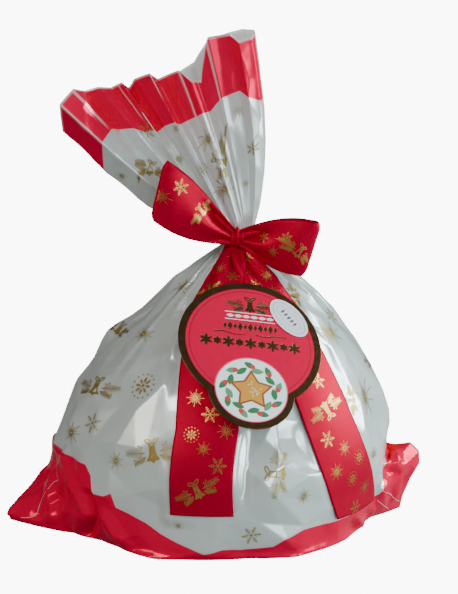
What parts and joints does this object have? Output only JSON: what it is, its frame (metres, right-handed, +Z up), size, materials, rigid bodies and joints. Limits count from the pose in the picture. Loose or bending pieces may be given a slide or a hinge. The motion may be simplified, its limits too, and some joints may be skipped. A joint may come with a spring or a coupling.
{
  "type": "gift-wrapped panettone",
  "caption": "Round cake in a film gift bag gathered at the neck and fanned out above, tied with a satin ribbon, with a die-cut card tag and an oval seal.",
  "frame": {"origin": "middle of the bag's flat base, on the surface it stands on", "axes": "+Z up through the bag towards its fan, -Y towards the tag, +X along the bag's bottom seam"},
  "size_m": [0.2907, 0.2477, 0.338],
  "materials": {
    "film": "pearl-white film with red ends and gold print, glossy",
    "ribbon": "red satin with gold print",
    "card": "coated red card with a dark foil rim",
    "seal": "white gloss paper"
  },
  "bodies": {
    "root": {"bag": "film", "ribbon": "ribbon", "tag": "card", "seal": "seal"}
  },
  "joints": []
}
